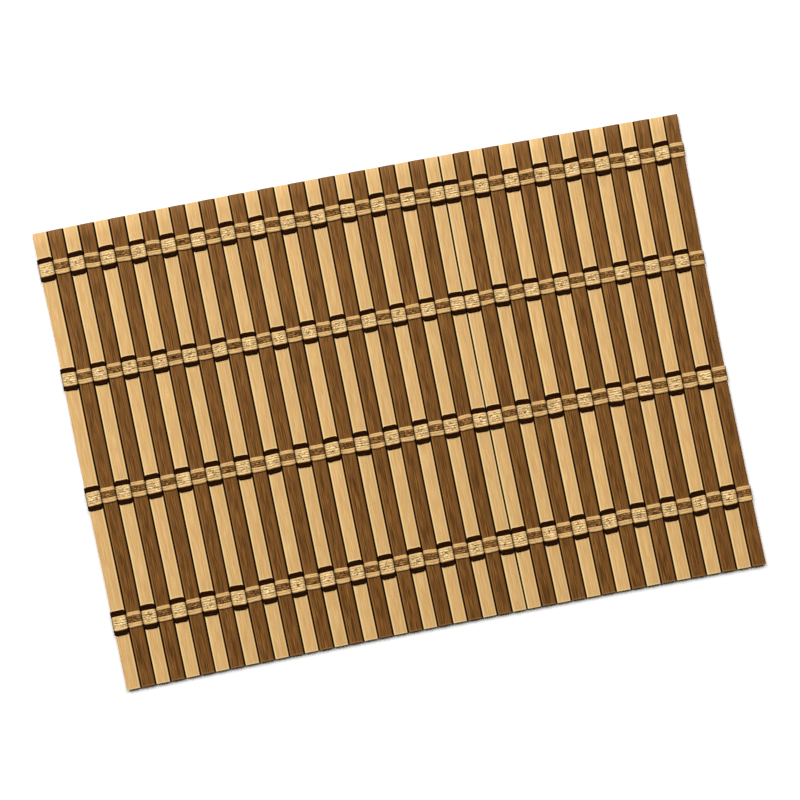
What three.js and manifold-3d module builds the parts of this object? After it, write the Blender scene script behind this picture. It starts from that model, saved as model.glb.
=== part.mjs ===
// Bamboo placemat: flat bamboo slats, natural and browned by turns, held side by side by four woven
// bands of yarn. Millimetres. The mat lies flat. X runs along its long side, across the slats, Y runs
// along the slats, and Z is up. The origin is at the middle of the underside.
import * as THREE from "three";
import { mergeVertices } from "three/addons/utils/BufferGeometryUtils.js";
import Module from "manifold-3d";

const wasm = await Module();
wasm.setup();

// Slats
const SLAT_LENGTH = 305;
const SLAT_THICKNESS = 1.8;
const SLAT_GAP = 1.0;
const SLAT_EASED_EDGE = 0.35;
const SLAT_RUNS = [
  { count: 30, width: 8.95 },
  { count: 13, width: 9.19 },
];
const FIRST_OF_PAIR = 26; // the slats alternate, but this light one has a light neighbour on its right

// Yarn
const YARN_THICKNESS = 0.7;
const CLEARANCE = 0.3; // between the yarn and the slat that it wraps, and between yarns side by side

// Each band: how far its middle lies from the top edge of the mat, at the left and at the right end,
// and how high its natural yarn is over a light slat
const BANDS = [
  { name: "band_1", left: 24.3, right: 23.8, height: 8.9 },
  { name: "band_2", left: 97.8, right: 96.8, height: 8.8 },
  { name: "band_3", left: 176.9, right: 175.0, height: 9.3 },
  { name: "band_4", left: 260.4, right: 256.4, height: 9.5 },
];
const NATURAL_EXTRA_ABOVE = 0.35; // the natural yarn reaches this much further towards the top edge
const UPPER_BAR_HEIGHT = 2.3; // natural yarn over a dark slat, on the side of the top edge
const LOWER_BAR_HEIGHT = 3.3; // the same on the side of the bottom edge
const DARK_YARN_HEIGHT = 2.8;

// Unevenness of the whole mat
const SLAT_LEAN = 3.0; // the top end of every slat lies this far to the left of its bottom end
const SLAT_BOW = 1.6; // the middle of every slat lies this far to the left of its two ends
const BOW_STEPS = 4;
const ROW_ARCH = 1.6; // the middle of the mat lies this far towards the top edge

// Colours
const FINISHES = {
  natural_bamboo: { color: "#dcb277", roughness: 0.5 },
  browned_bamboo: { color: "#7d5731", roughness: 0.5 },
  natural_yarn: { color: "#cfa56c", roughness: 0.9 },
  dark_yarn: { color: "#35190b", roughness: 0.9 },
};

// Worked out from the values above
const MAT_THICKNESS = SLAT_THICKNESS + 2 * (YARN_THICKNESS + CLEARANCE);
const SLAT_BOTTOM = YARN_THICKNESS + CLEARANCE;
const UPPER_YARN = MAT_THICKNESS - YARN_THICKNESS; // underside of the yarn that lies over a slat
const CROSSING = SLAT_GAP - 2 * CLEARANCE; // thickness of the yarn where it passes between two slats
const SLAT_WIDTHS = SLAT_RUNS.flatMap(({ count, width }) => new Array(count).fill(width));
const SLATS_ACROSS = SLAT_WIDTHS.reduce((sum, width) => sum + width + SLAT_GAP, -SLAT_GAP);

function isLight(index) {
  return index <= FIRST_OF_PAIR ? index % 2 === 0 : index % 2 === 1;
}

// Left and right edge of each slat, from the left end of the mat to the right end.
function layOutSlats() {
  let left = -SLATS_ACROSS / 2;
  return SLAT_WIDTHS.map((width, index) => {
    const slat = { light: isLight(index), left, right: left + width };
    left = slat.right + SLAT_GAP;
    return slat;
  });
}

// The slats that the yarn passes together: each slat by itself, and the two light neighbours as one.
function groupIntoSheds(slats) {
  const sheds = [];
  for (const slat of slats) {
    const last = sheds.at(-1);
    if (last && last.light === slat.light) last.right = slat.right;
    else sheds.push({ ...slat });
  }
  return sheds;
}

// Where the yarn goes up or down: round the left end, between the sheds, and round the right end.
function layOutCrossings(sheds) {
  const crossings = sheds.map(({ left }) => ({
    from: left - CLEARANCE - CROSSING,
    to: left - CLEARANCE,
  }));
  const end = sheds.at(-1).right + CLEARANCE;
  crossings.push({ from: end, to: end + CROSSING });
  return crossings;
}

// How far a slat lies to the left at a height y: it leans, and it bows in straight steps.
function leftwardAt(y) {
  const steps = (y / SLAT_LENGTH + 0.5) * BOW_STEPS;
  const step = Math.min(Math.max(Math.floor(steps), 0), BOW_STEPS - 1);
  const bow = (share) => 4 * share * (1 - share) * SLAT_BOW;
  const bowed = THREE.MathUtils.lerp(bow(step / BOW_STEPS), bow((step + 1) / BOW_STEPS), steps - step);
  return bowed + (y / SLAT_LENGTH) * SLAT_LEAN;
}

// How far a row lies towards the top edge at a place x along the mat.
function archAt(x) {
  const share = x / SLATS_ACROSS + 0.5;
  return 4 * share * (1 - share) * ROW_ARCH;
}

// Takes the points of a straight mat to where they lie in the uneven one.
function warp(geometry, liftAt = () => 0) {
  const points = geometry.getAttribute("position");
  for (let i = 0; i < points.count; i += 1) {
    const x = points.getX(i);
    const y = points.getY(i) + liftAt(x);
    points.setXY(i, x - leftwardAt(y), y + archAt(x));
  }
  geometry.computeVertexNormals();
  return geometry;
}

// A section in the XZ plane made into a solid that runs from y = top towards the bottom edge.
function extrudeAlongY(section, top, length, steps = 1) {
  const geometry = new THREE.ExtrudeGeometry(section, { depth: length, steps, bevelEnabled: false });
  return geometry.rotateX(Math.PI / 2).translate(0, top, 0);
}

function outline(points) {
  return points.map(([x, z]) => new THREE.Vector2(x, z));
}

function rectangle(left, right, bottom, top) {
  return outline([[left, bottom], [right, bottom], [right, top], [left, top]]);
}

function makeSlat({ left, right }) {
  const top = SLAT_BOTTOM + SLAT_THICKNESS;
  const section = outline([
    [left, SLAT_BOTTOM],
    [right, SLAT_BOTTOM],
    [right, top - SLAT_EASED_EDGE],
    [right - SLAT_EASED_EDGE, top],
    [left + SLAT_EASED_EDGE, top],
    [left, top - SLAT_EASED_EDGE],
  ]);
  return warp(extrudeAlongY(new THREE.Shape(section), SLAT_LENGTH / 2, SLAT_LENGTH, BOW_STEPS));
}

// A yarn seen from the mat's long side: over the light slats, under the dark ones, up or down between
// them, and down or up round both ends of the mat.
function yarnSection(sheds, crossings) {
  const above = [];
  const below = [];
  crossings.forEach(({ from, to }, index) => {
    const before = sheds[index - 1];
    const after = sheds[index];
    if (before && !before.light) above.push([from, YARN_THICKNESS]);
    if (!before || !before.light) above.push([from, MAT_THICKNESS]);
    if (!after || !after.light) above.push([to, MAT_THICKNESS]);
    if (after && !after.light) above.push([to, YARN_THICKNESS]);
    if (before && before.light) below.push([from, UPPER_YARN]);
    if (!before || before.light) below.push([from, 0]);
    if (!after || after.light) below.push([to, 0]);
    if (after && after.light) below.push([to, UPPER_YARN]);
  });
  return new THREE.Shape(outline([...below, ...above.reverse()]));
}

// Height of a band's middle at a place x along the mat.
function middleOf(band) {
  return (x) => SLAT_LENGTH / 2 - THREE.MathUtils.lerp(band.left, band.right, x / SLATS_ACROSS + 0.5);
}

function makeDarkYarn(band, section, top) {
  return warp(extrudeAlongY(section, top, DARK_YARN_HEIGHT), middleOf(band));
}

function toSolid(geometry) {
  geometry.deleteAttribute("normal");
  geometry.deleteAttribute("uv");
  const merged = mergeVertices(geometry);
  return new wasm.Manifold(
    new wasm.Mesh({
      numProp: 3,
      vertProperties: new Float32Array(merged.getAttribute("position").array),
      triVerts: new Uint32Array(merged.index.array),
    }),
  );
}

function toGeometry(solid) {
  const { vertProperties, triVerts } = solid.getMesh();
  const geometry = new THREE.BufferGeometry();
  geometry.setAttribute("position", new THREE.BufferAttribute(vertProperties, 3));
  geometry.setIndex(new THREE.BufferAttribute(triVerts, 1));
  return geometry;
}

// The natural yarn round one shed: one set of it covers a light slat and shows as two bars under it,
// and the other set does the same with a dark slat the other way up.
function makeSleeve(band, shed, from, to) {
  const top = band.height / 2 + NATURAL_EXTRA_ABOVE;
  const bottom = -band.height / 2;
  const ring = new THREE.Shape(rectangle(from, to, 0, MAT_THICKNESS));
  const hole = rectangle(shed.left - CLEARANCE, shed.right + CLEARANCE, YARN_THICKNESS, UPPER_YARN);
  ring.holes.push(new THREE.Path(hole));
  const lower = shed.light ? -YARN_THICKNESS : UPPER_YARN - CLEARANCE;
  const upper = lower + 2 * YARN_THICKNESS + CLEARANCE;
  const slot = new THREE.Shape(rectangle(shed.left, shed.right, lower, upper));
  const slotHeight = top - UPPER_BAR_HEIGHT - bottom - LOWER_BAR_HEIGHT;
  const sleeve = toSolid(extrudeAlongY(ring, top, top - bottom)).subtract(
    toSolid(extrudeAlongY(slot, top - UPPER_BAR_HEIGHT, slotHeight)),
  );
  return toSolid(warp(toGeometry(sleeve), middleOf(band)));
}

// The sleeves of a band meet half way between the slats and are one piece there.
function makeNaturalYarn(band, sheds, crossings) {
  const seams = crossings.map(({ from, to }) => (from + to) / 2);
  seams[0] = crossings[0].from;
  seams[seams.length - 1] = crossings.at(-1).to;
  const sleeves = sheds.map((shed, index) => makeSleeve(band, shed, seams[index], seams[index + 1]));
  return toGeometry(sleeves.reduce((joined, sleeve) => joined.add(sleeve)));
}

function makeMesh(name, geometry, finish) {
  const mesh = new THREE.Mesh(geometry, new THREE.MeshStandardMaterial({ ...finish, metalness: 0 }));
  mesh.name = name;
  return mesh;
}

function makeSlats(slats) {
  return slats.map((slat, index) => {
    const name = `slat_${String(index + 1).padStart(2, "0")}_${slat.light ? "natural" : "browned"}`;
    const finish = slat.light ? FINISHES.natural_bamboo : FINISHES.browned_bamboo;
    return makeMesh(name, makeSlat(slat), finish);
  });
}

function makeBand(band, sheds, crossings, section) {
  const upperTop = band.height / 2 + NATURAL_EXTRA_ABOVE + CLEARANCE + DARK_YARN_HEIGHT;
  const lowerTop = -band.height / 2 - CLEARANCE;
  return [
    makeMesh(`${band.name}_natural`, makeNaturalYarn(band, sheds, crossings), FINISHES.natural_yarn),
    makeMesh(`${band.name}_dark_upper`, makeDarkYarn(band, section, upperTop), FINISHES.dark_yarn),
    makeMesh(`${band.name}_dark_lower`, makeDarkYarn(band, section, lowerTop), FINISHES.dark_yarn),
  ];
}

function makePlacemat() {
  const slats = layOutSlats();
  const sheds = groupIntoSheds(slats);
  const crossings = layOutCrossings(sheds);
  const section = yarnSection(sheds, crossings);
  const mat = new THREE.Group();
  mat.add(...makeSlats(slats), ...BANDS.flatMap((band) => makeBand(band, sheds, crossings, section)));
  const box = new THREE.Box3().setFromObject(mat);
  const middle = box.getCenter(new THREE.Vector3());
  mat.position.set(-middle.x, -middle.y, -box.min.z);
  return mat;
}

export default makePlacemat();
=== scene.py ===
"""Bamboo placemat: flat slats, natural and browned by turns, held side by side by four woven bands.

The classes hold their sizes in millimetres, and the meshes are in metres. The mat lies flat on
Z = 0. X runs along its long side, across the slats, and Y along the slats towards the top edge.
"""

import logging
import math
from dataclasses import dataclass, field, replace
from enum import Enum
from typing import Any, Callable, Sequence

import bmesh
import bpy
from bmesh.types import BMesh
from bpy.types import Material, Node, NodeSocket, NodeTree, Object
from mathutils import Matrix, Vector, noise


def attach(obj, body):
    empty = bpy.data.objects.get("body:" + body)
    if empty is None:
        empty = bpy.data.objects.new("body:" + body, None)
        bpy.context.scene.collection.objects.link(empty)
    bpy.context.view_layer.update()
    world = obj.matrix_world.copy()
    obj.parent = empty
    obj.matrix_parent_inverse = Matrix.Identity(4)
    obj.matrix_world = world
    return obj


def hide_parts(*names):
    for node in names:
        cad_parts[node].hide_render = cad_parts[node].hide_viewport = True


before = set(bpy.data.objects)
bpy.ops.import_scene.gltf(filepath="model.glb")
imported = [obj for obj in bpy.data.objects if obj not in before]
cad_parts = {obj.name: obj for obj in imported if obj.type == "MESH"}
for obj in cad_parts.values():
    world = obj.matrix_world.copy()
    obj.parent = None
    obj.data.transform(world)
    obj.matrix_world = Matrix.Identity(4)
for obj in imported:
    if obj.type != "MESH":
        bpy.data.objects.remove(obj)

LOG = logging.getLogger("placemat")
MM = 0.001
Colour = tuple[float, float, float, float]
Shares = tuple[tuple[float, float], ...]  # values of a pattern, and the share that each one gives
Shape = tuple[float, float, float]  # shares of a strand's width and thickness, and its depth


class SlatKind(Enum):
    """How the bamboo of a slat was treated before it was woven in."""

    NATURAL = "natural"
    BROWNED = "browned"


class StrandEnd(Enum):
    """What a strand does past the outer edge of the first and of the last slat."""

    MEETS = "meets"  # it turns down the edge, and the strand from the other face meets it there
    TUCKS = "tucks"  # it goes round the edge and ends pressed to the other face


def linear(hex_colour: str) -> Colour:
    """Turns an sRGB hex colour to linear values.

    Args:
        hex_colour: The colour as "#rrggbb".

    Returns:
        Red, green and blue in linear light, and an alpha of 1.
    """
    shares = [int(hex_colour[at : at + 2], 16) / 255 for at in (1, 3, 5)]
    red, green, blue = [
        share / 12.92 if share <= 0.04045 else ((share + 0.055) / 1.055) ** 2.4 for share in shares
    ]
    return (red, green, blue, 1.0)


def add_node(
    tree: NodeTree,
    kind: str,
    inputs: dict[int | str, Any] | None = None,
    stops: list[tuple[float, Colour]] | None = None,
    **settings: Any,
) -> Node:
    """Adds a node with its settings and links.

    Args:
        tree: The tree that gets the node.
        kind: The node's type.
        inputs: For each input, by name or number, a value or the socket to link to it.
        stops: The places and colours of a colour ramp.
        **settings: The node's own properties.

    Returns:
        The new node.
    """
    node = tree.nodes.new(kind)
    for name, value in settings.items():
        setattr(node, name, value)
    if stops:
        ramp = node.color_ramp.elements
        ramp[0].position, ramp[0].color = stops[0]
        ramp[1].position, ramp[1].color = stops[-1]
        for place, colour in stops[1:-1]:
            ramp.new(place).color = colour
    for key, value in (inputs or {}).items():
        if isinstance(value, NodeSocket):
            tree.links.new(value, node.inputs[key])
        else:
            node.inputs[key].default_value = value
    return node


def new_material(name: str) -> tuple[Material, NodeTree]:
    """Makes an empty node material.

    Args:
        name: The material's name.

    Returns:
        The material and its node tree.
    """
    material = bpy.data.materials.new(name)
    material.use_nodes = True
    material.node_tree.nodes.clear()
    return material, material.node_tree


def add_ramp(
    tree: NodeTree, where: NodeSocket, shares: Shares, strength: float = 1.0
) -> NodeSocket:
    """Adds a ramp that turns a pattern or an attribute to a share.

    Args:
        tree: The tree that gets the ramp.
        where: The pattern or attribute.
        shares: Its values, and the share that each one gives.
        strength: What all shares are multiplied by.

    Returns:
        The share.
    """
    levels = [(value, share * strength) for value, share in shares]
    stops = [(value, (level, level, level, 1.0)) for value, level in levels]
    return add_node(tree, "ShaderNodeValToRGB", {"Fac": where}, stops).outputs["Color"]


def add_mix(tree: NodeTree, share: NodeSocket, ground: NodeSocket, colour: str) -> NodeSocket:
    """Lays a share of a hex colour over the ground, and returns the mixed colour."""
    inputs = {0: share, 6: ground, 7: linear(colour)}
    return add_node(tree, "ShaderNodeMix", inputs, data_type="RGBA").outputs[2]


def add_marks(
    tree: NodeTree,
    place: NodeSocket,
    scale: Sequence[float],
    detail: float,
    bend: float = 0.0,
) -> NodeSocket:
    """Adds an irregular pattern of marks that are drawn out one way.

    Args:
        tree: The tree that gets the pattern.
        place: The map or the coordinates that it reads.
        scale: How many marks there are in one unit of each axis.
        detail: How many finer layers the pattern has.
        bend: How much the marks curl.

    Returns:
        The pattern's strength.
    """
    drawn_out = add_node(tree, "ShaderNodeMapping", {"Vector": place, "Scale": scale})
    inputs = {
        "Vector": drawn_out.outputs["Vector"],
        "Scale": 1.0,
        "Detail": detail,
        "Roughness": 0.6,
        "Distortion": bend,
    }
    return add_node(tree, "ShaderNodeTexNoise", inputs).outputs["Fac"]


def add_surface(tree: NodeTree, inputs: dict[str, Any]) -> None:
    """Adds the shader with its inputs, and the output that shows it."""
    shader = add_node(tree, "ShaderNodeBsdfPrincipled", inputs)
    add_node(tree, "ShaderNodeOutputMaterial", {"Surface": shader.outputs["BSDF"]})


def read_attribute(tree: NodeTree, name: str) -> NodeSocket:
    """Returns the value that the mesh itself holds under a name."""
    return add_node(tree, "ShaderNodeAttribute", attribute_name=name).outputs["Fac"]


def wander(seed: float, place: float, reach: float) -> float:
    """Gives a smooth irregularity that is the same on each run.

    Args:
        seed: Tells one irregular line from another.
        place: How far along the line, in mm.
        reach: The length in mm over which it changes.

    Returns:
        A number that mostly lies between -1 and 1.
    """
    spot = Vector((place / reach, seed * 7.31, seed * 3.17))  # seeds lie well apart in the noise
    return noise.noise(spot) * 1.6


def add_object(name: str, data: Any) -> Object:
    """Puts a new object with its data in the scene, and returns it."""
    item = bpy.data.objects.new(name, data)
    bpy.context.scene.collection.objects.link(item)
    return item


def make_piece(
    name: str,
    mesh: BMesh,
    material: Material,
    slot: str,
    nodes: list[str],
    sharp_past: float | None = None,
) -> Object:
    """Makes a finished piece that rides on the mat.

    Args:
        name: The piece's name.
        mesh: Its shape, in metres and in place. It is freed.
        material: Its finish.
        slot: The material slot in the record. Not used.
        nodes: The CAD nodes that it stands for.
        sharp_past: The angle in degrees past which an edge stays sharp, or none if it is soft.

    Returns:
        The object.
    """
    bmesh.ops.recalc_face_normals(mesh, faces=mesh.faces)
    for face in mesh.faces:
        face.smooth = True
    data = bpy.data.meshes.new(name)
    mesh.to_mesh(data)
    mesh.free()
    if sharp_past is not None:
        data.set_sharp_from_angle(angle=math.radians(sharp_past))
    data.materials.append(material)
    piece = add_object(name, data)
    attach(piece, "root")
    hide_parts(*nodes)
    LOG.info("%s: %d faces", name, len(data.polygons))
    return piece


@dataclass(frozen=True)
class BambooFinish:
    """Split bamboo culm, planed flat and rubbed with a thin satin wax.

    The fibres show as fine lengthwise streaks. Painted highlight and shade line the edges and rims.
    """

    name: str
    light: str  # the ground between the fibres
    middle: str
    deep: str  # the fibre bundles
    # Painted highlight along the left edge, and at the rims of panel ends and of the bottom end
    left_highlight: str
    inner_shade: str  # painted shade in a strip inside the right edge
    # Painted highlight along the right edge of natural bamboo, painted shade there on browned
    right_edge_shading: str
    pit: str  # small marks left by the planer
    # How strongly the painted highlight and shade along the edges show
    left_share: float
    right_share: float
    rim_share: float  # how much the painted left highlight shows at a panel's end and at the bottom end
    wax: str  # what the wax gives to the gloss
    gloss: float
    roughness: float = 0.5
    # Width and length of a mark in mm. Real fibre bundles are finer than these, which still show.
    fibre_size: tuple[float, float] = (0.55, 12.0)
    streak_size: tuple[float, float] = (0.8, 26.0)
    speck_size: tuple[float, float] = (0.7, 1.5)
    streak_shares: Shares = ((0.40, 0.7), (0.56, 0.0))
    speck_shares: Shares = ((0.72, 0.0), (0.76, 0.75))
    # Across the slat, from 0 at its left side to 1 at its right side
    left_shares: Shares = ((0.0, 1.0), (0.08, 1.0), (0.11, 0.12), (0.25, 0.0))
    inner_shares: Shares = ((0.68, 0.0), (0.78, 0.8), (0.86, 1.0), (0.90, 0.0))
    right_shares: Shares = ((0.885, 0.0), (0.905, 1.0), (1.0, 1.0))
    rim_shares: Shares = ((0.0, 0.0), (1.0, 1.0))
    # Painted shade on the sides that face a neighbour
    side_shares: Shares = ((0.0, 0.0), (0.9, 1.0))
    relief: float = 0.35
    relief_depth: float = 0.06  # mm
    hollow_shade: str = "#0d0603"  # painted shade on the sides that face a neighbour, which makes the gaps dark

    def build(self) -> Material:
        """Returns the bamboo as a material that reads the slat's own map, whose unit is 1 mm."""
        material, tree = new_material(self.name)
        grain = add_node(tree, "ShaderNodeUVMap", uv_map="grain").outputs["UV"]
        fibres, streaks, specks = [
            add_marks(tree, grain, (1 / width, 1 / length, 1.0), detail)
            for (width, length), detail in (
                (self.fibre_size, 3.0),
                (self.streak_size, 2.0),
                (self.speck_size, 1.0),
            )
        ]
        across, rim, side, tone = [
            read_attribute(tree, name) for name in ("across", "rim", "side", "tone")
        ]
        colour = add_node(
            tree,
            "ShaderNodeValToRGB",
            {"Fac": fibres},
            [(0.30, linear(self.deep)), (0.52, linear(self.middle)), (0.72, linear(self.light))],
        ).outputs["Color"]
        # Grain and pits, then painted highlight and shade at the edges and rims, and at the gaps
        for where, shares, strength, on_top in (
            (streaks, self.streak_shares, 1.0, self.deep),
            (specks, self.speck_shares, 1.0, self.pit),
            (across, self.left_shares, self.left_share, self.left_highlight),
            (across, self.inner_shares, self.right_share, self.inner_shade),
            (across, self.right_shares, self.right_share, self.right_edge_shading),
            (rim, self.rim_shares, self.rim_share, self.left_highlight),
            (side, self.side_shares, 1.0, self.hollow_shade),
        ):
            colour = add_mix(tree, add_ramp(tree, where, shares, strength), colour, on_top)
        toned = add_node(tree, "ShaderNodeHueSaturation", {"Value": tone, "Color": colour})
        raised = {"Strength": self.relief, "Distance": self.relief_depth * MM, "Height": fibres}
        add_surface(
            tree,
            {
                "Base Color": toned.outputs["Color"],
                "Roughness": self.roughness,
                "IOR": 1.5,
                "Specular IOR Level": self.gloss,
                "Specular Tint": linear(self.wax),
                "Normal": add_node(tree, "ShaderNodeBump", raised).outputs["Normal"],
            },
        )
        return material


@dataclass(frozen=True)
class YarnFinish:
    """Loosely spun plant-fibre yarn, dyed or left raw.

    It is matt and its twist hardly shows. Among loose fibres the colour paints specks of shade and
    highlights.
    """

    name: str
    light: str
    dark: str
    fleck: str  # the shade between loose fibres
    tip: str  # painted highlight on fibres that stand proud
    gloss: float = 0.1
    hollow_shade: str = "#120905"  # the shade where the yarn dives between two slats
    length: float = 430.0  # mm, one turn of the map along a strand
    twist_pitch: float = 3.4
    fibre_sizes: tuple[float, ...] = (2.2, 0.35, 0.35)  # of a mark in mm: length, width, height
    fleck_sizes: tuple[float, ...] = (2.5, 0.8, 0.8)
    fleck_shares: Shares = ((0.53, 0.0), (0.57, 1.0))
    tip_shares: Shares = ((0.38, 0.9), (0.44, 0.0))
    fuzz: float = 0.6
    fuzz_depth: float = 0.12  # mm
    ply_relief: float = 0.35
    ply_depth: float = 0.15  # mm
    roughness: float = 0.92

    def build(self) -> Material:
        """Returns the yarn as a material that reads the strand's own map and place."""
        material, tree = new_material(self.name)
        place = add_node(tree, "ShaderNodeTexCoord").outputs["Object"]
        fibres, flecks = [
            add_marks(tree, place, [1 / (size * MM) for size in sizes], detail, bend)
            for sizes, detail, bend in (
                (self.fibre_sizes, 3.0, 0.4),
                (self.fleck_sizes, 0.5, 1.8),
            )
        ]
        loose = read_attribute(tree, "loose")
        colour = add_node(
            tree,
            "ShaderNodeValToRGB",
            {"Fac": fibres},
            [(0.30, linear(self.dark)), (0.58, linear(self.light))],
        ).outputs["Color"]
        for shares, on_top in ((self.fleck_shares, self.fleck), (self.tip_shares, self.tip)):
            marks = {0: add_ramp(tree, flecks, shares), 1: loose}
            shown = add_node(tree, "ShaderNodeMath", marks, operation="MULTIPLY")
            colour = add_mix(tree, shown.outputs[0], colour, on_top)
        shaded = add_mix(tree, read_attribute(tree, "hollow_shade"), colour, self.hollow_shade)
        fuzzy = {"Strength": self.fuzz, "Distance": self.fuzz_depth * MM, "Height": fibres}
        plied = {
            "Strength": self.ply_relief,
            "Distance": self.ply_depth * MM,
            "Height": self.twist(tree),
            "Normal": add_node(tree, "ShaderNodeBump", fuzzy).outputs["Normal"],
        }
        add_surface(
            tree,
            {
                "Base Color": shaded,
                "Roughness": self.roughness,
                "Specular IOR Level": self.gloss,
                "Normal": add_node(tree, "ShaderNodeBump", plied).outputs["Normal"],
            },
        )
        return material

    def twist(self, tree: NodeTree) -> NodeSocket:
        """Returns the height of the two plies, which wind round each other along the strand."""
        map_of_strand = add_node(tree, "ShaderNodeUVMap", uv_map="yarn").outputs["UV"]
        wave_unit = 0.2 * math.pi  # the wave texture repeats after this distance
        scale = (wave_unit * self.length / self.twist_pitch, wave_unit * 2, 1.0)
        turned = add_node(tree, "ShaderNodeMapping", {"Vector": map_of_strand, "Scale": scale})
        return add_node(
            tree,
            "ShaderNodeTexWave",
            {"Vector": turned.outputs["Vector"], "Scale": 1.0, "Distortion": 2.0, "Detail": 1.0},
            bands_direction="DIAGONAL",
        ).outputs["Fac"]


@dataclass(frozen=True)
class PaperFinish:
    """Matt white studio paper, which stays plain and even under the mat."""

    name: str = "studio_paper"
    colour: str = "#f7f7f6"

    def build(self) -> Material:
        """Returns the paper as a material."""
        material, tree = new_material(self.name)
        add_surface(
            tree,
            {"Base Color": linear(self.colour), "Roughness": 0.95, "Specular IOR Level": 0.1},
        )
        return material


@dataclass(frozen=True)
class SlatSpan:
    """The place of one slat across the straight mat, in mm."""

    number: int
    left: float
    right: float
    kind: SlatKind

    @property
    def middle(self) -> float:
        """The middle of the slat."""
        return (self.left + self.right) / 2

    @property
    def half_width(self) -> float:
        """Half the width of the slat."""
        return (self.right - self.left) / 2


@dataclass(frozen=True)
class Lattice:
    """Where the slats lie, and the unevenness of the whole mat. Sizes in mm."""

    slat_length: float = 305.0
    slat_thickness: float = 1.8
    slat_bottom: float = 1.0
    slat_gap: float = 1.0
    runs: tuple[tuple[int, float], ...] = ((30, 8.95), (13, 9.19))  # how many slats, and how wide
    first_of_pair: int = 26  # this light slat has a light neighbour on its right
    lean: float = 3.0  # the top end of a slat lies this far to the left of its bottom end
    bow: float = 1.6  # the middle of a slat lies this far to the left of its ends
    arch: float = 1.6  # the middle of the mat lies this far towards the top edge
    shift: tuple[float, float] = (0.543549, -0.799889)  # puts the middle of the mat on the origin
    # How far to the right the slats have slipped, at these places along the mat and heights
    drift_places: tuple[float, ...] = (-215.0, -143.0, -72.0, 0.0, 72.0, 143.0, 215.0)
    drift_heights: tuple[float, ...] = (-152.5, -76.0, 0.0, 76.0, 152.5)
    drifts: tuple[tuple[float, ...], ...] = (
        (-0.7, -0.9, -0.9, -0.55, 0.15, 0.1, 0.7),
        (0.5, 0.3, 0.0, 0.2, 0.45, 0.55, 0.7),
        (0.5, 0.95, 0.75, 1.1, 0.65, 1.1, 0.45),
        (0.7, 1.05, 0.75, 1.05, 0.65, 0.75, 0.65),
        (-1.05, 0.8, -0.1, 1.15, 0.95, 0.95, 0.4),
    )

    @property
    def across(self) -> float:
        """The length of the straight mat from the first slat to the last."""
        return sum(count * (width + self.slat_gap) for count, width in self.runs) - self.slat_gap

    @property
    def core(self) -> float:
        """The height of the middle of the slats."""
        return self.slat_bottom + self.slat_thickness / 2

    def spans(self) -> list[SlatSpan]:
        """Returns the slats from the left end of the mat to the right end."""
        widths = [width for count, width in self.runs for _ in range(count)]
        left = -self.across / 2
        spans = []
        for index, width in enumerate(widths):
            even = index % 2 == 0
            natural = even if index <= self.first_of_pair else not even
            kind = SlatKind.NATURAL if natural else SlatKind.BROWNED
            spans.append(SlatSpan(index + 1, left, left + width, kind))
            left += width + self.slat_gap
        return spans

    def leftward_at(self, y: float) -> float:
        """Returns how far a slat lies to the left at a height y, as it leans and bows."""
        share = y / self.slat_length + 0.5
        return 4 * share * (1 - share) * self.bow + (share - 0.5) * self.lean

    def drift_at(self, x: float, y: float) -> float:
        """Returns how far to the right the slats have slipped at a point.

        Args:
            x: Place along the straight mat, in mm.
            y: Height towards the top edge, in mm.

        Returns:
            The distance in mm, blended between the four nearest known points.
        """
        column, across = self.share_between(x, self.drift_places)
        row, up = self.share_between(y, self.drift_heights)
        lower, upper = self.drifts[row], self.drifts[row + 1]
        below = lower[column] + (lower[column + 1] - lower[column]) * across
        above = upper[column] + (upper[column + 1] - upper[column]) * across
        return below + (above - below) * up

    def share_between(self, value: float, marks: tuple[float, ...]) -> tuple[int, float]:
        """Returns the number of the mark before a value, and how far it is to the next one."""
        held = min(max(value, marks[0]), marks[-1])
        index = max(number for number, mark in enumerate(marks[:-1]) if mark <= held)
        return index, (held - marks[index]) / (marks[index + 1] - marks[index])

    def arch_at(self, x: float) -> float:
        """Returns how far a row lies towards the top edge at a place x."""
        share = x / self.across + 0.5
        return 4 * share * (1 - share) * self.arch

    def place(self, x: float, y: float, z: float) -> Vector:
        """Takes a point of the straight mat to where it lies in the uneven one.

        Args:
            x: Place along the mat, in mm.
            y: Height towards the top edge, in mm.
            z: Height above what the mat lies on, in mm.

        Returns:
            The point in metres.
        """
        moved_x = x - self.leftward_at(y) + self.drift_at(x, y) + self.shift[0]
        moved_y = y + self.arch_at(x) + self.shift[1]
        return Vector((moved_x, moved_y, z)) * MM


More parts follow.
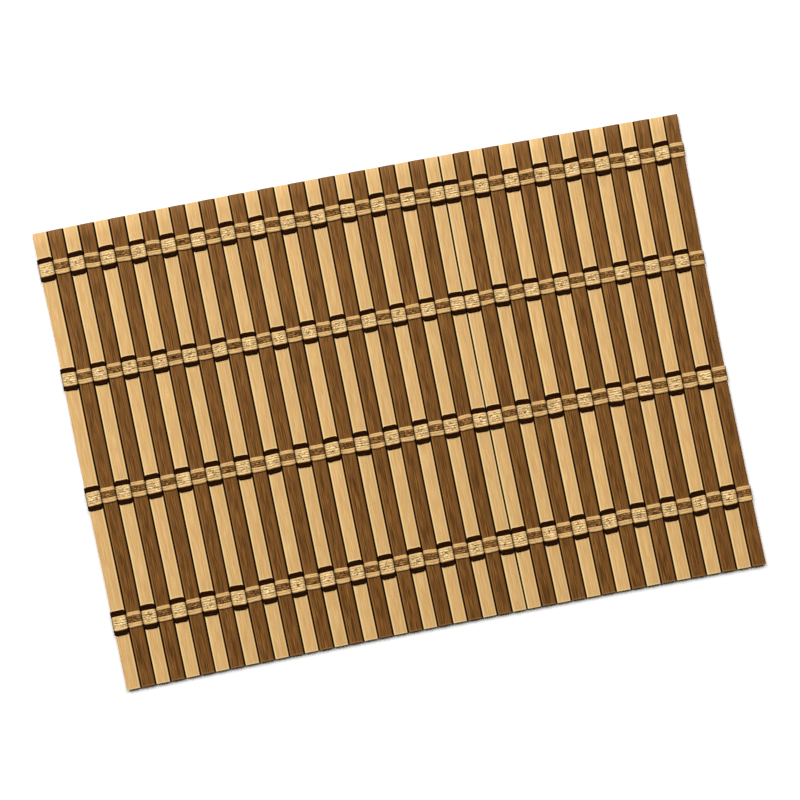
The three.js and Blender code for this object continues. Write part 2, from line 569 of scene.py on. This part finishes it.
@dataclass
class Slat:
    """One flat slat with eased edges and square-cut ends. Sizes in mm."""

    span: SlatSpan
    lattice: Lattice
    material: Material
    panel_ends: list[tuple[float, int]]  # each height where a panel ends, and on which side it lies
    edge_radius: float = 0.38
    end_radius: float = 0.14
    sharp_past: float = 32.0  # degrees
    row_spacing: float = 9.0
    row_clearance: float = 1.5  # the evenly spaced rows keep this far from those at a panel's end
    covered_rows: tuple[float, ...] = (-1.3, -0.6, 0.0)  # steps from a panel's end, most under yarn
    rim_width: float = 0.6
    rim_fade: float = 1.6  # the painted highlight at a rim has faded out at this many times its width
    splay: float = 0.612  # the sides lean out, and the rounded lower edges nearly meet
    splay_margin: float = 1.0  # the splay goes on this far past a panel's end, under the yarn
    no_highlight_across: float = 0.25  # the first slat's free left edge gets no painted highlight
    dark_reach: float = 0.3  # from the side inwards, the rounded edges get painted shade this far
    dark_below: float = 0.03  # and from this far below the upper face
    dark_share: float = 0.8
    dark_fade: float = 2.4  # what the share of painted shade loses for each mm inwards
    # Of each irregular line, how far it strays and the length over which it changes
    edge_unevenness: tuple[float, float] = (0.07, 24.0)
    face_unevenness: tuple[float, float] = (0.035, 60.0)
    end_unevenness: tuple[float, float] = (0.12, 9.0)
    tone_range: float = 0.035
    grain_step: tuple[float, float] = (17.3, 331.7)  # each slat comes from another stretch
    tolerance: float = 0.01

    @property
    def name(self) -> str:
        """The name of the CAD node that the slat stands for."""
        return f"slat_{self.span.number:02d}_{self.span.kind.value}"

    @property
    def outer(self) -> int:
        """Which side of the slat is free: -1 the left one, 1 the right one, or 0 neither."""
        return {1: -1, len(self.lattice.spans()): 1}.get(self.span.number, 0)

    def build(self) -> Object:
        """Returns the slat, cut, eased, mapped and laid in place."""
        mesh = self.cut_blank()
        self.ease_edges(mesh)
        self.map_grain(mesh)
        self.lay(mesh)
        name, slot = f"bamboo_{self.name}", f"{self.span.kind.value}_bamboo"
        return make_piece(name, mesh, self.material, slot, [self.name], self.sharp_past)

    def rows(self) -> list[float]:
        """Returns the heights of the rows of points along the slat, closer at panel ends."""
        half = self.lattice.slat_length / 2
        rim = [self.rim_width, self.rim_width * self.rim_fade]
        steps = [*self.covered_rows, *rim]
        near = [height + side * step for height, side in self.panel_ends for step in steps]
        count = round(2 * half / self.row_spacing)
        even = [-half + 2 * half * number / count for number in range(count + 1)]
        kept = [y for y in even if min(abs(y - other) for other in near) > self.row_clearance]
        return sorted(kept + near + [-half + step for step in rim])

    def cut_blank(self) -> BMesh:
        """Returns a straight blank round the origin, divided along its length."""
        mesh = bmesh.new()
        size = (
            self.span.right - self.span.left,
            self.lattice.slat_length,
            self.lattice.slat_thickness,
        )
        bmesh.ops.create_cube(mesh, size=1.0, matrix=Matrix.Diagonal((*size, 1.0)))
        lengthwise = [edge for edge in mesh.edges if edge.calc_length() > size[1] / 2]
        rows = self.rows()
        bmesh.ops.subdivide_edges(mesh, edges=lengthwise, cuts=len(rows) - 2)
        for vert in mesh.verts:
            share = vert.co.y / size[1] + 0.5
            vert.co.y = rows[round(share * (len(rows) - 1))]
        return mesh

    def ease_edges(self, mesh: BMesh) -> None:
        """Rounds the long edges of a blank, and breaks the edges of its ends."""

        def bevel(picked: Callable[[float, float], bool], radius: float, segments: int) -> None:
            edges = [edge for edge in mesh.edges if picked(*[vert.co.y for vert in edge.verts])]
            bmesh.ops.bevel(
                mesh,
                geom=edges,
                offset=radius,
                segments=segments,
                profile=0.5,
                affect="EDGES",
                material=-1,
            )

        end = self.lattice.slat_length / 2 - self.tolerance
        bevel(lambda start, stop: abs(start - stop) > self.tolerance, self.edge_radius, 3)
        bevel(lambda start, stop: min(abs(start), abs(stop)) > end, self.end_radius, 2)

    def map_grain(self, mesh: BMesh) -> None:
        """Gives a straight slat its map in mm, its tone, and where highlight and shade are painted.
        """
        grain = mesh.loops.layers.uv.new("grain")
        across, tone, side, rim = [
            mesh.verts.layers.float.new(name) for name in ("across", "tone", "side", "rim")
        ]
        slat_tone = 1.0 + self.tone_range * wander(self.span.number, self.span.number * 5.0, 3.0)
        for vert in mesh.verts:
            share = vert.co.x / self.span.half_width / 2 + 0.5
            vert[across] = max(share, self.no_highlight_across) if self.outer < 0 else share
            vert[tone] = slat_tone
            vert[side] = self.gap_shade_at(vert.co)
            vert[rim] = self.rim_at(vert.co.y) if vert.co.z > 0 else 0.0
        aside, along = [self.span.number * step for step in self.grain_step]
        for face in mesh.faces:
            for loop in face.loops:
                spot = loop.vert.co
                down = math.copysign(self.lattice.slat_thickness / 2 - spot.z, spot.x)
                loop[grain].uv = (spot.x + down + aside, spot.y + along)

    def gap_shade_at(self, spot: Vector) -> float:
        """Returns the share of painted shade at a point: full on the sides facing a neighbour and
        below.
        """
        drop = self.lattice.slat_thickness / 2 - spot.z
        inset = self.span.half_width - abs(spot.x)
        if inset >= self.dark_reach or spot.x * self.outer > 0 or drop <= self.dark_below:
            return 0.0
        if inset < self.tolerance or spot.z < 0:
            return 1.0
        return self.dark_share - self.dark_fade * inset

    def rim_at(self, y: float) -> float:
        """Returns 1 at a height where a panel's rim or the bottom end gets painted highlight, or 0.
        """
        reach = self.rim_width + self.tolerance
        steps = [y + self.lattice.slat_length / 2]
        if self.span.kind is SlatKind.NATURAL:
            steps += [(y - height) * side for height, side in self.panel_ends]
        return 1.0 if any(-self.tolerance <= step <= reach for step in steps) else 0.0

    def splay_at(self, y: float) -> float:
        """Returns how far the lower edges reach out at a height: they are trimmed at the bands."""
        for (upper, _), (lower, _) in zip(self.panel_ends[::2], self.panel_ends[1::2]):
            if lower + self.splay_margin < y < upper - self.splay_margin:
                return 0.0
        return self.splay

    def lay(self, mesh: BMesh) -> None:
        """Moves a straight slat to its place in the mat and makes it slightly uneven."""
        half_length = self.lattice.slat_length / 2

        # The seeds tell the irregular lines of one slat apart
        def stray(unevenness: tuple[float, float], seed: float, place: float) -> float:
            return unevenness[0] * wander(self.span.number + seed, place, unevenness[1])

        for vert in mesh.verts:
            x, y, z = vert.co
            side = x / self.span.half_width
            edge = stray(self.edge_unevenness, 0.37 if side > 0 else 0.61, y)
            low = max(0.0, 0.5 - z / self.lattice.slat_thickness) if x * self.outer <= 0 else 0.0
            reach = math.copysign(self.splay_at(y) * low, x) if abs(side) > 0.9 else 0.0
            rise = stray(self.face_unevenness, 0.83, y)
            end = stray(self.end_unevenness, 0.17, x) * (abs(y) / half_length) ** 8
            vert.co = self.lattice.place(
                self.span.middle + x + reach + edge * abs(side) * (1 - low),
                y + math.copysign(end, y),
                self.lattice.core + z + rise,
            )


@dataclass(frozen=True)
class Section:
    """One place on a strand's way along the mat. Sizes in mm."""

    x: float
    z: float
    width: float
    thickness: float
    depth: float  # 0 where the strand lies on a slat, 1 where it is deep between two
    slat: SlatSpan


@dataclass
class Strand:
    """One yarn that goes over the slats of one kind and under the others. Sizes in mm."""

    lattice: Lattice
    spans: list[SlatSpan]
    middle_at: Callable[[float], float]
    from_middle: float  # how far the strand lies from the band's middle
    over: SlatKind
    end: StrandEnd
    seed: float
    width: float
    stray: float  # how far it wanders from its straight line
    loose: float  # how much its fibres have come apart, from 0 to 1
    loose_reach: float  # the flecks fade out at this distance from the band's middle
    thickness: float = 0.98
    sides: int = 8
    upper_crease: float = 0.0  # the shade on its side towards the top edge of the mat
    lower_crease: float = 0.0
    gather: float = 0.15  # the strands draw together by this share where they dive
    # Steps from the middle of a gap: distance, then the shares of the lift, the width, the
    # thickness and the depth
    shoulder: tuple[tuple[float, ...], ...] = (
        (0.08, 0.40, 0.62, 0.5, 1.0),
        (0.36, 0.82, 0.84, 0.72, 1.0),
        (0.72, 0.98, 0.94, 0.92, 0.35),
        (1.5, 1.0, 1.0, 1.0, 0.0),
    )
    middle_shape: Shape = (1.02, 1.0, 0.0)
    gap_shape: Shape = (0.55, 0.42, 1.0)
    turn_shape: Shape = (0.8, 0.62, 0.0)  # where it goes round an outer edge
    meet_shape: Shape = (0.45, 0.3, 0.0)
    tuck_shape: Shape = (0.85, 0.85, 0.0)
    tip_shape: Shape = (0.35, 0.3, 0.0)
    meet_lift: float = 0.16
    tuck_length: float = 2.4
    tip_length: float = 0.6
    cut_back: float = 1.0  # a strand that ends under the last slat stops this far from its edge
    cut_tip: tuple[float, float, float] = (0.5, 0.4, 0.3)  # length, share of width, thickness
    deepest_shade: float = 0.94
    # Of each irregularity, its size and the length over which it changes
    swell: tuple[float, float] = (0.08, 2.2)
    knobs: tuple[float, float] = (0.07, 1.5)
    knob_turn: float = 40.0  # how far the knobs differ from one side of the strand to the other
    stray_reach: float = 4.5

    def lift(self, span: SlatSpan) -> float:
        """Returns how far above the core of the mat the strand lies at a slat, or below it."""
        reach = (self.lattice.slat_thickness + self.thickness) / 2
        return reach if span.kind is self.over else -reach

    def section(self, x: float, rise: float, shape: Shape, slat: SlatSpan) -> Section:
        """Returns a place on the way.

        Args:
            x: Place along the straight mat, in mm.
            rise: Height above the core of the mat, in mm.
            shape: The shares of the strand's width and thickness there, and the depth.
            slat: The slat at this place.

        Returns:
            The place.
        """
        width, thickness, depth = shape
        z = self.lattice.core + rise
        return Section(x, z, self.width * width, self.thickness * thickness, depth, slat)

    def crossing(self, span: SlatSpan) -> list[Section]:
        """Returns the places of the strand over or under one slat, without the gaps."""
        rise = self.lift(span)
        start = span.left - self.lattice.slat_gap / 2
        stop = span.right + self.lattice.slat_gap / 2
        going_on = [
            self.section(start + step, rise * share, shape, span)
            for step, share, *shape in self.shoulder
        ]
        middle = [self.section(span.middle, rise, self.middle_shape, span)]
        going_off = [
            self.section(stop - step, rise * share, shape, span)
            for step, share, *shape in reversed(self.shoulder)
        ]
        return going_on + middle + going_off

    def outer_end(self, span: SlatSpan, side: int) -> list[Section]:
        """Returns the places past an outer slat's edge, from the tip towards the mat.

        Args:
            span: The first or the last slat.
            side: -1 at the left end of the mat and 1 at the right end.

        Returns:
            The places, the tip first.
        """
        rise = self.lift(span)
        edge = span.left if side < 0 else span.right
        gap = edge + side * self.lattice.slat_gap / 2
        turn = self.section(gap, 0.0, self.turn_shape, span)
        if self.end is StrandEnd.MEETS:
            return [self.section(gap, -rise * self.meet_lift, self.meet_shape, span), turn]
        if rise < 0:
            return []
        tip = edge - side * self.tuck_length
        tucked = [
            self.section(tip, -rise, self.tip_shape, span),
            self.section(tip + side * self.tip_length, -rise, self.tuck_shape, span),
        ]
        tucked += [
            self.section(gap - side * step, -rise * share, (width, thickness, 0.0), span)
            for step, share, width, thickness, _ in reversed(self.shoulder[:3])
        ]
        return tucked + [turn]

    def route(self) -> list[Section]:
        """Returns the whole way of the strand from the left end of the mat to the right end."""
        places = self.outer_end(self.spans[0], -1)
        for span, following in zip(self.spans, self.spans[1:] + [None]):
            places += self.crossing(span)
            if following:
                rise = (self.lift(span) + self.lift(following)) / 4
                gap = span.right + self.lattice.slat_gap / 2
                places.append(self.section(gap, rise, self.gap_shape, span))
        places += self.outer_end(self.spans[-1], 1)[::-1]
        if self.end is StrandEnd.TUCKS and self.lift(self.spans[-1]) < 0:
            stop = self.spans[-1].right - self.cut_back
            places = [place for place in places if place.x < stop]
            last = places[-1]
            length, width, thickness = self.cut_tip
            tip = replace(last, x=last.x + length, width=last.width * width, thickness=thickness)
            places.append(tip)
        return places

    def add_to(self, mesh: BMesh) -> None:
        """Adds the strand to a mesh: a flat net with one row for each place is rolled to a tube.

        Args:
            mesh: The mesh, with its map and its attributes.
        """
        hollow_shade = mesh.verts.layers.float["hollow_shade"]
        loose = mesh.verts.layers.float["loose"]
        places = self.route()
        steps = len(places) - 1
        net = bmesh.ops.create_grid(
            mesh, x_segments=steps, y_segments=self.sides, size=0.5, calc_uvs=True
        )
        for vert in net["verts"]:
            step = round((vert.co.x + 0.5) * steps)
            turn = (vert.co.y + 0.5) * math.tau
            here = places[step]
            upper = self.upper_crease * max(math.cos(turn), 0.0) ** 3
            lower = self.lower_crease * max(-math.cos(turn), 0.0) ** 3
            vert[hollow_shade] = max(here.depth * self.deepest_shade, upper, lower)
            vert[loose] = self.looseness(here)
            vert.co = self.surface(places, step, turn)
        bmesh.ops.remove_doubles(mesh, verts=net["verts"], dist=0.002 * MM)

    def looseness(self, here: Section) -> float:
        """Returns how far the fibres have come apart: most in the middle of each crossing."""
        across = abs(here.x - here.slat.middle) / here.slat.half_width
        aside = abs(self.from_middle) / self.loose_reach
        return self.loose * max(0.0, 1 - aside**3) * max(0.0, 1 - across**4)

    def surface(self, places: list[Section], step: int, turn: float) -> Vector:
        """Returns a point on the strand's surface.

        Args:
            places: The way of the strand.
            step: Which place along the way.
            turn: The angle round the strand, from the side of the top edge.

        Returns:
            The point in metres, in the uneven mat.
        """
        here = places[step]
        before = places[max(step - 1, 0)]
        after = places[min(step + 1, len(places) - 1)]
        run, climb = after.x - before.x, after.z - before.z
        length = math.hypot(run, climb) or 1.0
        swell = 1.0 + self.swell[0] * wander(self.seed + 0.5, here.x, self.swell[1])
        spot = here.x + self.knob_turn * math.sin(turn)
        knob = 1.0 + self.knobs[0] * wander(self.seed + math.cos(turn), spot, self.knobs[1])
        aside = here.width / 2 * math.cos(turn) * swell * knob
        out = here.thickness / 2 * math.sin(turn) * knob
        drawn_in = self.from_middle * (1 - self.gather * here.depth)
        strayed = self.stray * wander(self.seed, here.x, self.stray_reach)
        y = self.middle_at(here.x) + drawn_in + strayed + aside
        return self.lattice.place(here.x - climb / length * out, y, here.z + run / length * out)


@dataclass(frozen=True)
class Lane:
    """Some strands side by side that make one stripe of a band.

    Heights are in mm from the middle of the band as drawn, towards the top edge.
    """

    top: float
    bottom: float
    strands: int
    over: SlatKind
    end: StrandEnd
    stray: float = 0.12
    loose: float = 0.35
    overlap: float = 1.3  # the strands press into each other by this factor


@dataclass
class Band:
    """One woven band, which holds all slats. Sizes in mm."""

    number: int
    left: float  # from the top edge of the mat to the band's middle, at the left end
    right: float
    sag: float  # how far the middle of the band hangs below the line between its ends
    height: float
    lattice: Lattice
    spans: list[SlatSpan]
    natural_yarn: Material
    bar_yarn: Material
    brown_yarn: Material
    dark_yarn: Material
    drawn_height: float = 9.0  # the lanes below are given for a band of this height
    panel_clearance: float = 0.15  # from the dark lanes to the ends of the bare panels
    loose_reach: float = 4.0  # loose fibres show up to this far from the band's middle
    outer_crease: float = 0.5  # the shade along the two outer sides of a lane
    unevenness: float = 0.3  # how far the band's middle wanders up and down
    uneven_reach: float = 11.0
    upper_dark: Lane = Lane(7.65, 4.55, 2, SlatKind.NATURAL, StrandEnd.TUCKS)
    upper_patch: Lane = Lane(4.3, 1.5, 2, SlatKind.NATURAL, StrandEnd.MEETS, 0.12, 1.0)
    middle_patch: Lane = Lane(1.5, -1.6, 2, SlatKind.NATURAL, StrandEnd.MEETS, 0.3, 1.0)
    lower_patch: Lane = Lane(-1.6, -4.4, 2, SlatKind.NATURAL, StrandEnd.MEETS, 0.12, 1.0)
    lower_dark: Lane = Lane(-4.7, -7.45, 2, SlatKind.NATURAL, StrandEnd.TUCKS)
    upper_bar: Lane = Lane(4.9, 2.75, 2, SlatKind.BROWNED, StrandEnd.MEETS, overlap=1.5)
    brown_bar: Lane = Lane(2.4, -1.3, 3, SlatKind.BROWNED, StrandEnd.MEETS, 0.2, 1.0)
    lower_bar: Lane = Lane(-1.7, -4.4, 2, SlatKind.BROWNED, StrandEnd.MEETS, overlap=1.5)

    @property
    def scale(self) -> float:
        """What the heights of the lanes are multiplied by in this band."""
        return self.height / self.drawn_height

    def middle_at(self, x: float) -> float:
        """Returns the height of the band's middle at a place x along the straight mat."""
        share = x / self.lattice.across + 0.5
        line = self.left + (self.right - self.left) * share
        ripple = self.unevenness * wander(self.number * 3.3, x, self.uneven_reach)
        return self.lattice.slat_length / 2 - line - 4 * share * (1 - share) * self.sag + ripple

    def panel_ends(self, x: float) -> list[tuple[float, int]]:
        """Returns where the bare panels of a natural slat end at this band.

        Args:
            x: The middle of the slat, in mm along the straight mat.

        Returns:
            Each height in mm, and 1 where the panel lies above it or -1 where it lies below.
        """
        middle = self.middle_at(x)
        return [
            (middle + (self.upper_dark.top + self.panel_clearance) * self.scale, 1),
            (middle + (self.lower_dark.bottom - self.panel_clearance) * self.scale, -1),
        ]

    def weave(self, lanes: list[Lane]) -> BMesh:
        """Returns the strands of some lanes as one mesh.

        Args:
            lanes: The lanes, all of one colour.

        Returns:
            The closed strands.
        """
        mesh = bmesh.new()
        mesh.loops.layers.uv.new("yarn")
        mesh.verts.layers.float.new("hollow_shade")
        mesh.verts.layers.float.new("loose")
        for lane in lanes:
            pitch = (lane.top - lane.bottom) / lane.strands * self.scale
            for index in range(lane.strands):
                offset = lane.top * self.scale - pitch * (index + 0.5)
                seed = self.number * 10.0 + offset * 1.37  # no two strands wander alike
                strand = Strand(
                    lattice=self.lattice,
                    spans=self.spans,
                    middle_at=self.middle_at,
                    from_middle=offset,
                    over=lane.over,
                    end=lane.end,
                    seed=seed + 40.0 if lane.end is StrandEnd.TUCKS else seed,
                    width=pitch * lane.overlap,
                    stray=lane.stray,
                    loose=lane.loose,
                    loose_reach=self.loose_reach * self.scale,
                    upper_crease=self.outer_crease if index == 0 else 0.0,
                    lower_crease=self.outer_crease if index == lane.strands - 1 else 0.0,
                )
                strand.add_to(mesh)
        open_edges = [edge for edge in mesh.edges if edge.is_boundary]
        bmesh.ops.holes_fill(mesh, edges=open_edges, sides=0)
        return mesh

    def build(self) -> list[Object]:
        """Returns the band's pieces, one for each colour and face of the mat."""
        patches = [self.upper_patch, self.middle_patch, self.lower_patch]
        bars = [self.upper_bar, self.lower_bar]
        parts = [
            ("patch_yarn", patches, self.natural_yarn, "natural_yarn", "natural"),
            ("bar_yarn", bars, self.bar_yarn, "natural_yarn", "natural"),
            ("brown_yarn", [self.brown_bar], self.brown_yarn, "natural_yarn", "natural"),
            ("upper_dark_yarn", [self.upper_dark], self.dark_yarn, "dark_yarn", "dark_upper"),
            ("lower_dark_yarn", [self.lower_dark], self.dark_yarn, "dark_yarn", "dark_lower"),
        ]
        band = f"band_{self.number}"
        return [
            make_piece(f"{band}_{name}", self.weave(lanes), yarn, slot, [f"{band}_{node}"])
            for name, lanes, yarn, slot, node in parts
        ]


@dataclass
class Placemat:
    """The whole mat: its slats and its bands."""

    lattice: Lattice = field(default_factory=Lattice)
    # Each band from the top edge: its place at the left and right end, its sag and its height
    band_places: tuple[tuple[float, ...], ...] = (
        (24.5, 23.9, 0.35, 8.95),
        (97.6, 96.5, 0.8, 8.75),
        (177.1, 175.1, 0.25, 9.35),
        (260.5, 256.4, 0.65, 9.55),
    )
    natural_bamboo: BambooFinish = BambooFinish(
        name="natural_bamboo_planed",
        light="#d9b57d",
        middle="#d0a970",
        deep="#bd9259",
        left_highlight="#eacd90",
        inner_shade="#c19a63",
        right_edge_shading="#dbb77e",
        pit="#845629",
        left_share=0.9,
        right_share=0.8,
        rim_share=0.5,
        wax="#fff4e0",
        gloss=0.3,
    )
    browned_bamboo: BambooFinish = BambooFinish(
        name="steamed_bamboo_planed",
        light="#8f6433",
        middle="#774e24",
        deep="#3a1f08",
        left_highlight="#916433",
        inner_shade="#714921",
        right_edge_shading="#65401c",
        pit="#351d0a",
        left_share=0.75,
        right_share=0.8,
        rim_share=0.7,
        wax="#ffc98a",
        gloss=0.4,
    )
    natural_yarn: YarnFinish = YarnFinish(
        "raw_plant_yarn", "#e4c085", "#c79c61", "#4e2f10", "#f9e2ab"
    )
    bar_yarn: YarnFinish = YarnFinish(
        "raw_plant_yarn_under", "#d2ac72", "#b68c56", "#5f3d18", "#e9cc90"
    )
    brown_yarn: YarnFinish = YarnFinish(
        "mid_brown_yarn", "#7c5227", "#543516", "#1e0f04", "#b4884e"
    )
    dark_yarn: YarnFinish = YarnFinish(
        "dark_brown_yarn", "#2b1305", "#100602", "#040100", "#5a3312", gloss=0.02
    )

    def build(self) -> None:
        """Builds and dresses the slats, then the bands."""
        spans = self.lattice.spans()
        bamboo = {
            SlatKind.NATURAL: self.natural_bamboo.build(),
            SlatKind.BROWNED: self.browned_bamboo.build(),
        }
        finishes = (self.natural_yarn, self.bar_yarn, self.brown_yarn, self.dark_yarn)
        yarns = [finish.build() for finish in finishes]
        bands = [
            Band(number, left, right, sag, height, self.lattice, spans, *yarns)
            for number, (left, right, sag, height) in enumerate(self.band_places, start=1)
        ]
        for span in spans:
            ends = [end for band in bands for end in band.panel_ends(span.middle)]
            Slat(span, self.lattice, bamboo[span.kind], ends).build()
        for band in bands:
            band.build()


def direction(bearing: float, elevation: float) -> Vector:
    """Returns the way to a place round the mat, from angles in radians.

    Args:
        bearing: From the slats' top ends, clockwise seen from above.
        elevation: Above the mat.

    Returns:
        A vector of length 1.
    """
    level = math.cos(elevation)
    return Vector((level * math.sin(bearing), level * math.cos(bearing), math.sin(elevation)))


@dataclass(frozen=True)
class Viewpoint:
    """The camera, almost straight above the mat. Lengths in mm and angles in degrees."""

    target: tuple[float, float, float] = (-1.539, 0.171, 0.0)
    distance: float = 900.0
    azimuth: float = 237.21  # from the slats' bottom ends, anticlockwise seen from above
    elevation: float = 87.81
    roll: float = -10.838
    lens: float = 61.24
    sensor: float = 36.0

    def build(self) -> Object:
        """Returns the scene's camera."""
        azimuth, elevation, roll = map(math.radians, (self.azimuth, self.elevation, self.roll))
        away = direction(math.pi - azimuth, elevation)
        level = Vector((0.0, 1.0, 0.0)).cross(away).normalized()
        upright = away.cross(level)
        right = math.cos(roll) * level + math.sin(roll) * upright
        up = math.cos(roll) * upright - math.sin(roll) * level
        data = bpy.data.cameras.new("studio_camera")
        data.lens = self.lens
        data.sensor_width = self.sensor
        data.sensor_fit = "HORIZONTAL"
        data.clip_start = 0.01
        data.clip_end = 20.0
        camera = add_object("studio_camera", data)
        turned = Matrix((right, up, away)).transposed().to_4x4()
        place = (Vector(self.target) + away * self.distance) * MM
        camera.matrix_world = Matrix.Translation(place) @ turned
        bpy.context.scene.camera = camera
        LOG.info("camera at %.0f mm", self.distance)
        return camera


@dataclass(frozen=True)
class SoftBox:
    """One square studio lamp aimed at the mat. Lengths in metres and angles in degrees."""

    name: str
    bearing: float  # from the slats' top ends, clockwise seen from above
    elevation: float
    power: float
    size: float
    distance: float = 4.5
    colour: tuple[float, float, float] = (1.0, 1.0, 1.0)

    def build(self) -> Object:
        """Returns the lamp."""
        away = direction(math.radians(self.bearing), math.radians(self.elevation))
        data = bpy.data.lights.new(self.name, "AREA")
        data.shape = "SQUARE"
        data.size = self.size
        data.energy = self.power
        data.color = self.colour
        lamp = add_object(self.name, data)
        aimed = away.to_track_quat("Z", "Y").to_matrix().to_4x4()
        lamp.matrix_world = Matrix.Translation(away * self.distance) @ aimed
        return lamp


@dataclass
class Studio:
    """The pale floor and the soft lamps round it."""

    floor_size: float = 8.0  # metres
    ambient: float = 0.04
    lamps: tuple[SoftBox, ...] = (
        SoftBox("key_left", -32.0, 44.0, 212.0, 2.5),
        SoftBox("key_right", 30.0, 44.0, 166.0, 2.5),
    )

    def build(self) -> None:
        """Builds the floor, the lamps and the faint light from all round."""
        mesh = bmesh.new()
        bmesh.ops.create_grid(mesh, x_segments=1, y_segments=1, size=self.floor_size / 2)
        data = bpy.data.meshes.new("studio_floor")
        mesh.to_mesh(data)
        mesh.free()
        data.materials.append(PaperFinish().build())
        floor = add_object("studio_floor", data)
        for lamp in self.lamps:
            lamp.build()
        world = bpy.data.worlds.new("studio_air")
        world.use_nodes = True
        light = world.node_tree.nodes["Background"].inputs
        light["Color"].default_value = (1.0, 1.0, 1.0, 1.0)
        light["Strength"].default_value = self.ambient
        bpy.context.scene.world = world
        bpy.context.scene.view_settings.view_transform = "Standard"
        LOG.info("studio: floor and %d lamps", len(self.lamps))


def main() -> None:
    """Builds the placemat and its studio."""
    logging.basicConfig(level=logging.INFO, format="%(name)s: %(message)s")
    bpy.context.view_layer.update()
    Viewpoint().build()
    Placemat().build()
    Studio().build()


if __name__ == "__main__":
    main()
